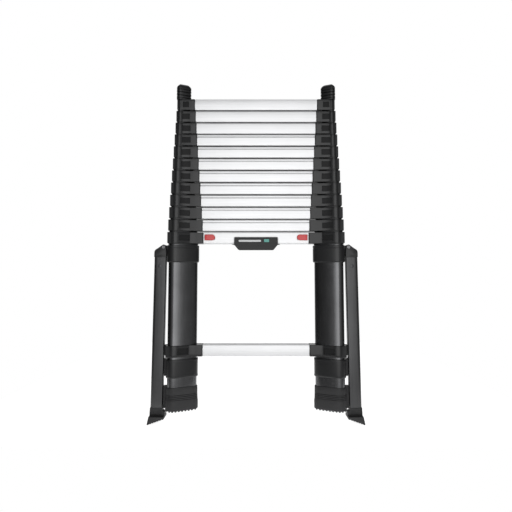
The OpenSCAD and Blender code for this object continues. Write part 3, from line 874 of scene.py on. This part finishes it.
def add_lug(shell, x0, x1, half, z0, z1):
    """Tapered bar across the sole."""
    taper = 0.7
    rings = [[(x0 + t, -half + t, z), (x1 - t, -half + t, z), (x1 - t, half - t, z), (x0 + t, half - t, z)]
             for z, t in ((z0, taper), (z0 + 0.4, taper * 0.6), (z1, 0.0))]
    shell.closed_loft(rings)


def add_cap(side, mirror):
    """Domed end cap with four grooves around it, from rows of (height, step in or out)."""
    low, high = box_mm("top_caps")
    core, corner = 13.0, 9.7
    rows = [(0, -1.2), (0.4, -0.3), (2.2, 0), (2.6, -1.8), (4.0, -1.8), (4.5, 0), (8.7, 0), (9.2, -2.7),
            (12.0, -2.7), (12.5, 0), (17.9, 0), (18.4, -2.7), (21.0, -2.7), (21.5, 0), (25.6, 0),
            (26.1, -1.9), (27.9, -1.9), (28.4, -0.1), (33.5, -0.2), (35.0, -0.5), (36.8, -1.3),
            (38.8, -2.9), (40.6, -4.7),
            (42.2, -6.7), (43.3, -8.2), (high.z - low.z, -9.2)]
    shell = Shell()
    shell.closed_loft([ring_at(stile_outline(core, corner + grow), low.z + z) for z, grow in rows])
    made = build("end_cap_" + side, shell, mirror=mirror)
    finish_piece(made, "section_" + two(SECTIONS), CAP_PLASTIC, "collar_plastic", "top_caps")


# ---------------------------------------------------------------- stabiliser legs
def leg_outline(grow):
    outer, inner = 9.0 + grow, max(3.0 + grow, 0.6)
    return round_rect(LEG_W + 2 * grow, LEG_D + 2 * grow, (outer, inner, inner, outer), 8)


def lean(obj, mirror):
    """Turns a leg's piece about the pivot to its place at rest."""
    sign = -1 if mirror else 1
    turn = Matrix.Rotation(-sign * LEAN, 4, "Y")
    centre = Vector((sign * PIVOT_X * MM, 0, PIVOT_Z * MM))
    obj.data.transform(Matrix.Translation(centre) @ turn @ Matrix.Translation(-centre))
    return obj


def leg_plug(z0, z1, mirror):
    """Part of a head or a foot that fits inside the leg tube."""
    shell = Shell()
    shell.closed_loft([[(LEG_X + x, y, z) for x, y in leg_outline(-1.75)] for z in (z0, z1)])
    return build("plug", shell, mirror=mirror)


def leg_cross_rod(name, r, x, z, sign, y0=-20.0, y1=20.0, steps=28):
    return build(name, rod(r, (sign * x, y0, z), (sign * x, y1, z), steps))


def add_leg(side, mirror):
    body = "leg_" + side
    sign = -1 if mirror else 1
    wall, edge = 1.6, 0.3
    shell = Shell()
    z0, z1 = LEG_TUBE_Z, LEG_TUBE_TOP
    rows = [(-wall, z0 + edge), (-wall + edge, z0), (-edge, z0), (0, z0 + edge),
            (0, z1 - edge), (-edge, z1), (-wall + edge, z1), (-wall, z1 - edge)]
    first, last = shell.loft([[(LEG_X + x, y, z) for x, y in leg_outline(grow)] for grow, z in rows])
    shell.bridge(last, first)
    made = build("stabiliser_tube_" + side, shell, mirror=mirror)
    ring_z, ring_r = RIVET_Z + 17.0, 5.5
    cutters = [leg_cross_rod("rivet_hole", RIVET_R + 0.1, LEG_X, RIVET_Z, sign)]
    for face in (-1, 1):
        y0, y1 = face * (LEG_D / 2 - 0.5), face * (LEG_D / 2 + 1)
        dimple = leg_cross_rod("dimple", ring_r, LEG_X, ring_z, sign, y0, y1, 36)
        boss = leg_cross_rod("boss", ring_r - 1.2, LEG_X, ring_z, sign, y0 - face * 0.4, y1 + face, 36)
        cutters.append(combine(dimple, [boss]))
    combine(made, cutters)
    finish_piece(lean(made, mirror), body, LEG_METAL, "leg_aluminium", "leg_tube_" + side)
    add_leg_head(side, mirror, body, sign)
    add_leg_foot(side, mirror, body)

    out = LEG_D / 2
    profile = [(0.6, -out - 0.9), (3.2, -out - 0.8), (4.2, -out - 0.5), (4.5, -out - 0.03), (RIVET_R, -out),
               (RIVET_R, out), (4.5, out + 0.03), (4.2, out + 0.5), (3.2, out + 0.8), (0.6, out + 0.9)]
    rivet = build("stabiliser_rivet_" + side, lathe_y(profile, LEG_X, RIVET_Z), mirror=mirror)
    finish_piece(lean(rivet, mirror), body, RIVET_STEEL, "rivet_steel", "leg_rivets_" + side)


def add_leg_head(side, mirror, body, sign):
    """Head: a knuckle around the pivot, a sloping shoulder, a slot for the tongue and a plug in the tube."""
    base, knuckle, shoulder, shoulder_top = LEG_TUBE_TOP + 0.1, 7.0, 11.0, 463.5
    outline = [(LEG_OUT, base)] + arc(LEG_OUT - shoulder, shoulder_top - shoulder, shoulder, 0, 72, 10)
    outline += arc(PIVOT_X, PIVOT_Z, knuckle, 80, 190, 14) + [(LEG_IN, PIVOT_Z - 12), (LEG_IN, base)]
    made = build("stabiliser_head_" + side, along_y(outline, LEG_D / 2, 1.2), mirror=mirror)
    combine(made, [leg_plug(RIVET_Z - 12, base + 1, mirror)], "UNION")
    slot_half = TONGUE_HALF + 0.3
    a, b = sorted((sign * (LEG_IN - 2), sign * (PIVOT_X + TONGUE_R + 2)))
    cutters = [build("slot", block(a, b, -slot_half, slot_half, LEG_TUBE_TOP + 4, PIVOT_Z + 15)),
               leg_cross_rod("bore", PIN_R + RUN_GAP, PIVOT_X, PIVOT_Z, sign),
               leg_cross_rod("bore", RIVET_R + 0.1, LEG_X, RIVET_Z, sign)]
    for face in (-1, 1):
        y0, y1 = face * (LEG_D / 2 - 1.5), face * (LEG_D / 2 + 2)
        cutters.append(leg_cross_rod("counterbore", PIN_HEAD_R + 0.3, PIVOT_X, PIVOT_Z, sign, y0, y1, 36))
        x0, x1 = PIVOT_X + 4, LEG_OUT - 5
        groove = [(x0, base + 3), (x1, base + 3), (x1, base + 4.4), (x0, base + 4.4)]
        cutters.append(build("groove", along_y(groove, 0.8, 0.0, face * (LEG_D / 2)), mirror=mirror))
    combine(made, cutters)
    finish_piece(lean(made, mirror), body, HEAD_PLASTIC, "head_plastic", "leg_head_" + side)


def add_leg_foot(side, mirror, body):
    """Foot with a wide, slanted, treaded sole and a triangle moulded into its faces."""
    seam = LEG_TUBE_Z - 0.1
    tip_x, heel_x = LEG_OUT + 4.2, LEG_IN - 6.0
    tip_z = PIVOT_Z - (PIVOT_Z + (tip_x - PIVOT_X) * sin(LEAN)) / cos(LEAN)
    heel_z = tip_z + (tip_x - heel_x) * tan(SWING)
    sole_top, sole_half = 21.0, box_mm("leg_foot_right")[1].y
    edge = [(heel_x, heel_z), (tip_x, tip_z), (tip_x + 0.3, tip_z + 3), (LEG_OUT + 0.8, sole_top)]
    outline = edge + [(LEG_OUT, seam), (LEG_IN, seam), (LEG_IN, 34), (heel_x, 31)]
    made = build("stabiliser_foot_" + side, along_y(outline, LEG_D / 2 + 1, 1.0), mirror=mirror)
    sole = along_y(edge + [(heel_x, sole_top)], sole_half, 1.6)
    plug = leg_plug(seam - 1, LEG_TUBE_Z + 24, mirror)
    combine(made, [plug, build("sole", sole, mirror=mirror)], "UNION")
    cutters = []
    web = [(LEG_IN + 3, 23.5), (LEG_OUT - 2.5, 23.5), (LEG_OUT - 3.5, 36), (LEG_IN + 3, 36)]
    rib = [(LEG_IN + 8, 37), (LEG_OUT - 7, 37), (LEG_OUT - 14, 25)]
    for face in (-1, 1):
        y = face * (LEG_D / 2 + 1.05)
        hollow = build("web", along_y(web, 1.0, 0.0, y), mirror=mirror)
        island = build("rib", along_y(rib, 2.0, 0.0, y), mirror=mirror)
        cutters.append(combine(hollow, [island]))
    for t in (0.12, 0.27, 0.42, 0.57, 0.72, 0.86):
        cx, cz = heel_x + t * (tip_x - heel_x), heel_z + t * (tip_z - heel_z)
        w, h = 1.3, 1.8
        along, up = (cos(SWING), -sin(SWING)), (sin(SWING), cos(SWING))
        corners = [(cx + i * w * along[0] + j * h * up[0], cz + i * w * along[1] + j * h * up[1])
                   for i, j in ((-1, -1), (1, -1), (1, 1), (-1, 1))]
        cutters.append(build("tread", along_y(corners, sole_half + 2), mirror=mirror))
    combine(made, cutters)
    finish_piece(lean(made, mirror), body, LEG_RUBBER, "leg_rubber", "leg_foot_" + side)


def add_hinge(side, mirror):
    bracket = hinge_bracket(mirror, "hinge_bracket_" + side)
    finish_piece(bracket, "base", COLLAR_PLASTIC, "collar_plastic", "hinge_brackets")
    end, bore = PIN_HIGH.y, 1.6
    rows = [(bore + 0.3, -end), (PIN_HEAD_R - 0.5, -end), (PIN_HEAD_R, -end + 0.4), (PIN_HEAD_R, -end + 1.2),
            (PIN_R, -end + 1.2), (PIN_R, end - 1.2), (PIN_HEAD_R, end - 1.2), (PIN_HEAD_R, end - 0.4),
            (PIN_HEAD_R - 0.5, end), (bore + 0.3, end), (bore, end - 0.3), (bore, -end + 0.3)]
    shell = Shell()
    turn = [2 * pi * i / 36 for i in range(36)]
    rings = [[(PIVOT_X + r * cos(a), y, PIVOT_Z + r * sin(a)) for a in turn] for r, y in rows]
    first, last = shell.loft(rings)
    shell.bridge(last, first)
    pin = build("hinge_pin_" + side, shell, mirror=mirror)
    finish_piece(pin, "base", PIN_STEEL, "pin_steel", "hinge_pins")


# ---------------------------------------------------------------- assembly
def body_of_section(k):
    return "base" if k == 1 else "section_" + two(k)


for section in range(1, SECTIONS + 1):
    add_tubes(section, body_of_section(section))
    add_collars(section, body_of_section(section))
    add_rung(section + 1, body_of_section(section))
add_rung(1, "base")
for side_name, is_left in SIDES:
    add_bottom_bracket(side_name, is_left)
    add_lower_sleeve(side_name, is_left)
    add_hinge(side_name, is_left)
    add_foot(side_name, is_left)
    add_cap(side_name, is_left)
    add_leg(side_name, is_left)
    add_button(side_name, is_left)
    add_bolt(side_name, is_left)
add_centre_plate()


# ---------------------------------------------------------------- floor, light and camera
def add_floor():
    """Pale floor that glows a little, like a lit table, so that it blends into the white behind it."""
    shell = Shell()
    shell.faces.append(tuple(shell.loop([(-800, -200, 0), (800, -200, 0), (800, 1700, 0), (-800, 1700, 0)])))
    floor = build("floor", shell)
    floor.location.z = -0.0004
    material, shader, add, link = new_material("floor_paint")
    noise = add("ShaderNodeTexNoise", Scale=3.0, Detail=3.0)
    tone = add("ShaderNodeValToRGB")
    ramp(tone, [(0.2, 0.90), (0.8, 0.94)])
    link(noise.outputs["Fac"], tone.inputs["Fac"])
    link(tone.outputs["Color"], shader.inputs["Base Color"])
    shader.inputs["Roughness"].default_value = 0.8
    shader.inputs["Specular IOR Level"].default_value = 0.1
    shader.inputs["Emission Color"].default_value = (1, 1, 1, 1)
    shader.inputs["Emission Strength"].default_value = 0.9
    floor.data.materials.append(material)


def add_light(name, place, target, size, power):
    data = bpy.data.lights.new(name, "AREA")
    data.shape = "RECTANGLE"
    data.size, data.size_y = size
    data.energy = power
    light = bpy.data.objects.new(name, data)
    light.location = place
    light.visible_camera = False
    light.rotation_euler = (Vector(target) - Vector(place)).to_track_quat("-Z", "Y").to_euler()
    bpy.context.scene.collection.objects.link(light)


AZIMUTH_TONES = [(-180, 1.05), (-150, 0.95), (-128, 0.25), (-110, 0.06), (-85, 0.04), (-60, 0.07),
                 (-42, 0.30), (-20, 0.70), (0, 0.80), (22, 0.80), (40, 0.60), (55, 0.28), (85, 0.14),
                 (108, 0.06), (128, 0.25), (150, 0.95), (180, 1.05)]
WORLD_STRENGTH = 0.85


def add_world():
    """Soft studio surround: bright in front and behind, dark at the sides, dimmer higher up.

    Azimuth is measured from the camera's side, positive to its right. The camera sees plain white."""
    world = bpy.data.worlds.new("studio")
    bpy.context.scene.world = world
    world.use_nodes = True
    tree = world.node_tree
    tree.nodes.clear()

    def add(kind, operation=None):
        made = tree.nodes.new(kind)
        if operation:
            made.operation = operation
        return made

    def link(source, target):
        tree.links.new(source, target)

    where = add("ShaderNodeTexCoord")
    split = add("ShaderNodeSeparateXYZ")
    link(where.outputs["Generated"], split.inputs["Vector"])
    forward = add("ShaderNodeMath", "MULTIPLY")
    forward.inputs[1].default_value = -1
    link(split.outputs["Y"], forward.inputs[0])
    azimuth = add("ShaderNodeMath", "ARCTAN2")
    link(split.outputs["X"], azimuth.inputs[0])
    link(forward.outputs["Value"], azimuth.inputs[1])
    part = add("ShaderNodeMapRange")
    part.inputs["From Min"].default_value = -pi
    part.inputs["From Max"].default_value = pi
    link(azimuth.outputs["Value"], part.inputs["Value"])
    tone = add("ShaderNodeValToRGB")
    tone.color_ramp.interpolation = "B_SPLINE"
    ramp(tone, [((a + 180) / 360, float(v)) for a, v in AZIMUTH_TONES])
    link(part.outputs["Result"], tone.inputs["Fac"])

    height = add("ShaderNodeMapRange")
    height.inputs["From Min"].default_value = -0.1
    height.inputs["From Max"].default_value = 0.55
    height.inputs["To Min"].default_value = 1.0
    height.inputs["To Max"].default_value = 0.62
    link(split.outputs["Z"], height.inputs["Value"])
    level = add("ShaderNodeMix")
    level.data_type = "RGBA"
    level.blend_type = "MULTIPLY"
    level.inputs["Factor"].default_value = 1.0
    link(tone.outputs["Color"], level.inputs["A"])
    link(height.outputs["Result"], level.inputs["B"])

    soft = add("ShaderNodeBackground")
    link(level.outputs["Result"], soft.inputs["Color"])
    soft.inputs["Strength"].default_value = WORLD_STRENGTH
    white = add("ShaderNodeBackground")
    white.inputs["Color"].default_value = (1, 1, 1, 1)
    path = add("ShaderNodeLightPath")
    mix = add("ShaderNodeMixShader")
    link(path.outputs["Is Camera Ray"], mix.inputs["Fac"])
    link(soft.outputs["Background"], mix.inputs[1])
    link(white.outputs["Background"], mix.inputs[2])
    out = add("ShaderNodeOutputWorld")
    link(mix.outputs["Shader"], out.inputs["Surface"])


def add_camera():
    data = bpy.data.cameras.new("camera")
    data.sensor_width = 36.0
    data.lens = 38.56
    data.shift_y = -0.06
    camera = bpy.data.objects.new("camera", data)
    eye_height = 0.3965
    camera.location = (0.0, -1.5, eye_height)
    camera.rotation_euler = (radians(90 + 5), 0, 0)
    bpy.context.scene.collection.objects.link(camera)
    bpy.context.scene.camera = camera


add_floor()
add_light("front_panel", (0.04, -0.62, 0.60), (0.04, 0, 0.60), (0.68, 1.12), 3.45)
add_world()
add_camera()
bpy.context.scene.view_settings.view_transform = "Standard"
